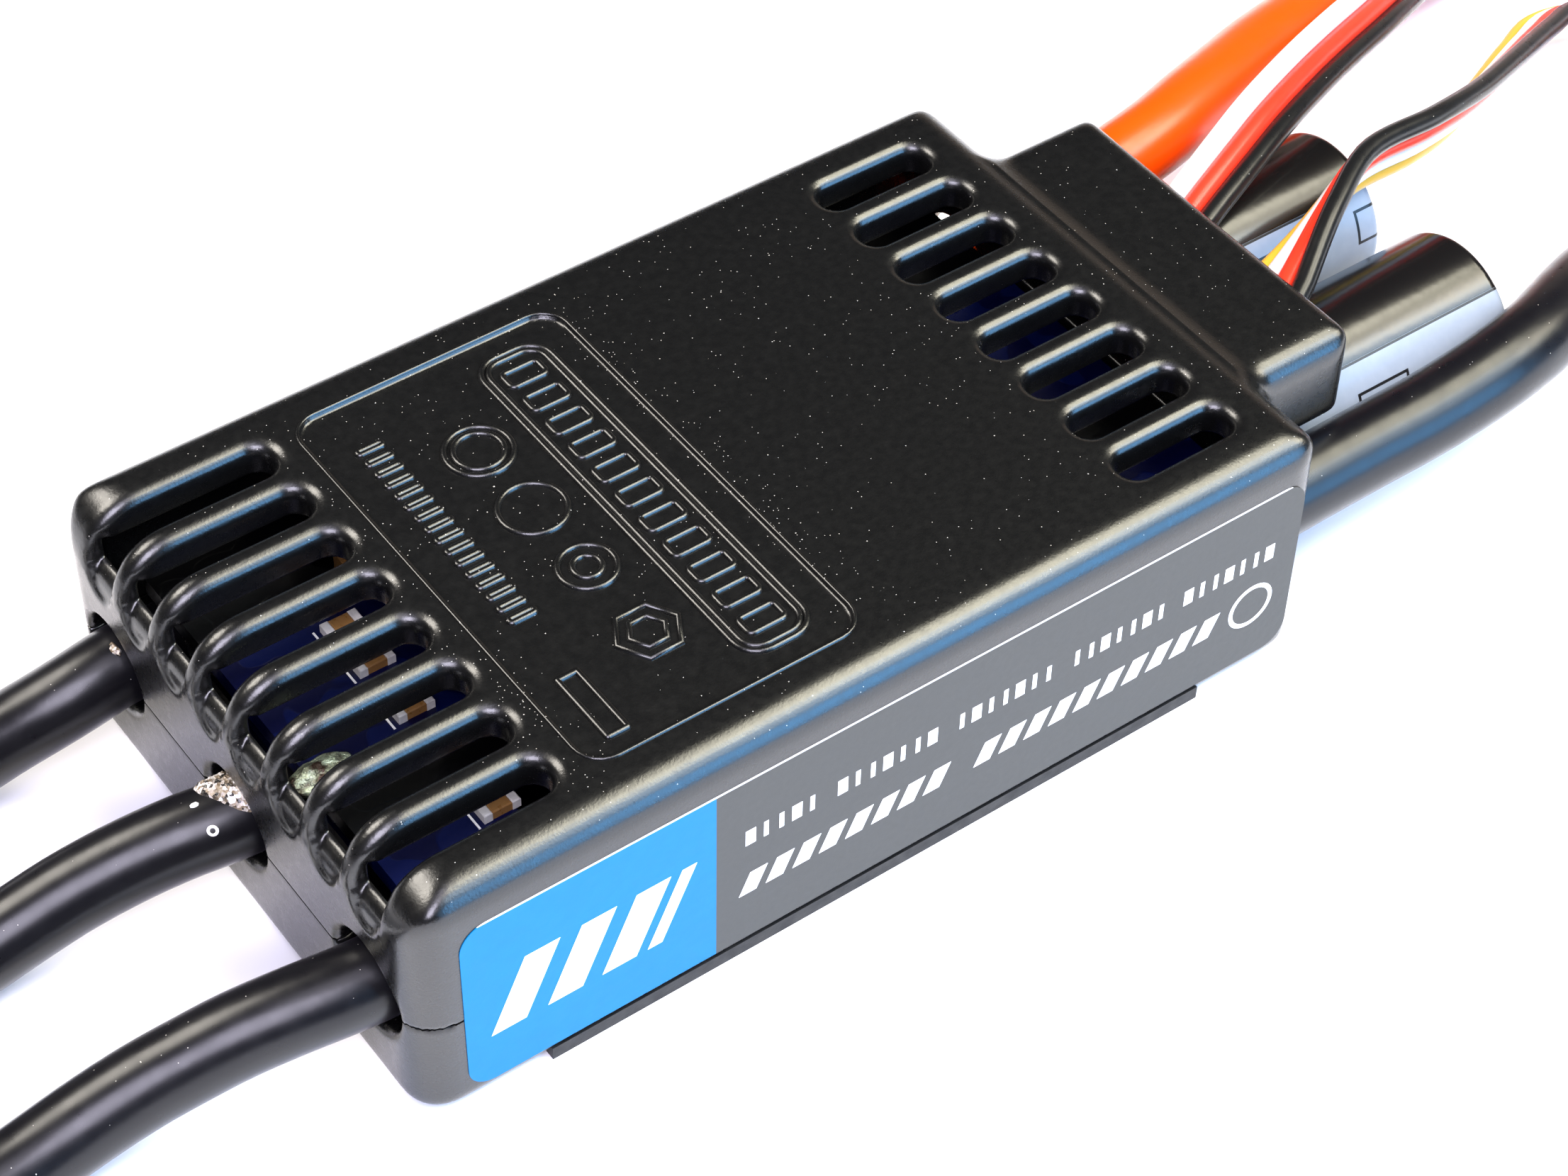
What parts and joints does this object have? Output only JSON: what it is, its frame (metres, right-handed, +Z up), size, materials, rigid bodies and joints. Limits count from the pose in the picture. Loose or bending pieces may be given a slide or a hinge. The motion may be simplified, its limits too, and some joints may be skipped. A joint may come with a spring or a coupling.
{
  "type": "electronic speed controller",
  "caption": "Vented plastic case on a heat sink, with circuit boards, buffer capacitors and free leads, that drives a brushless motor from a battery.",
  "frame": {"origin": "under the middle of the rigid part, on the table: the middle of the box from the case's motor end to the capacitors' ends", "axes": "+X towards the battery leads and capacitors, +Z up out of the vented roof, -Y the labelled side"},
  "size_m": [0.2557, 0.0548, 0.0174],
  "materials": {
    "case_plastic": "satin black, finely grained",
    "anodised": "black anodised",
    "pad": "soft, matt",
    "screw_steel": "blackened",
    "board": "dark blue solder mask",
    "chip": "moulded black",
    "ceramic_part": "fired, tan",
    "resistor_part": "pale",
    "copper": "bare copper",
    "gold": "gold plated",
    "tin": "tinned",
    "can_aluminium": "drawn can",
    "cap_film": "glossy shrink film with a pale stripe",
    "bung_rubber": "matt",
    "label": "printed film, blue and dark grey, no text",
    "sealant": "speckled grey",
    "silicone_black": "smooth silicone",
    "silicone_red": "smooth silicone",
    "cable_red": "flat cable, white, red and black",
    "cable_black": "flat cable, black, red, white and yellow",
    "shrink_tube": "shrunk sleeve",
    "plug_black": "moulded",
    "plug_white": "moulded, natural",
    "tie_wire": "coated wire"
  },
  "bodies": {
    "root": {"upper_shell": "case_plastic", "lower_shell": "case_plastic", "heat_sink": "anodised", "thermal_pad": "pad", "case_screws": "screw_steel", "power_board": "board", "mosfets": "chip", "ceramic_capacitors": "ceramic_part", "bus_bars": "copper", "control_board": "board", "controller_chip": "chip", "driver_chips": "chip", "regulator_coil": "chip", "regulator_chip": "chip", "smd_resistors": "resistor_part", "smd_capacitors": "ceramic_part", "board_pins": "gold", "motor_wire_cores": "tin", "battery_wire_cores": "tin", "solder_joints": "tin", "capacitor_can_1": "can_aluminium", "capacitor_can_2": "can_aluminium", "capacitor_sleeve_1": "cap_film", "capacitor_sleeve_2": "cap_film", "capacitor_bungs": "bung_rubber", "capacitor_leads": "tin", "side_label": "label", "exit_sealant": "sealant", "motor_lead_1": "silicone_black", "motor_lead_2": "silicone_black", "motor_lead_3": "silicone_black", "bullet_socket_1": "gold", "bullet_socket_2": "gold", "bullet_socket_3": "gold", "lead_sleeve_1": "shrink_tube", "lead_sleeve_2": "shrink_tube", "lead_sleeve_3": "shrink_tube", "battery_lead_positive": "silicone_red", "battery_lead_negative": "silicone_black", "positive_lead_tip": "tin", "negative_lead_tip": "tin", "signal_cable": "cable_red", "signal_cable_hank": "cable_red", "signal_cable_tail": "cable_red", "signal_plug": "plug_black", "signal_contacts": "gold", "cable_ties": "tie_wire", "program_cable": "cable_black", "program_plug": "plug_white", "program_contacts": "gold"}
  },
  "joints": []
}
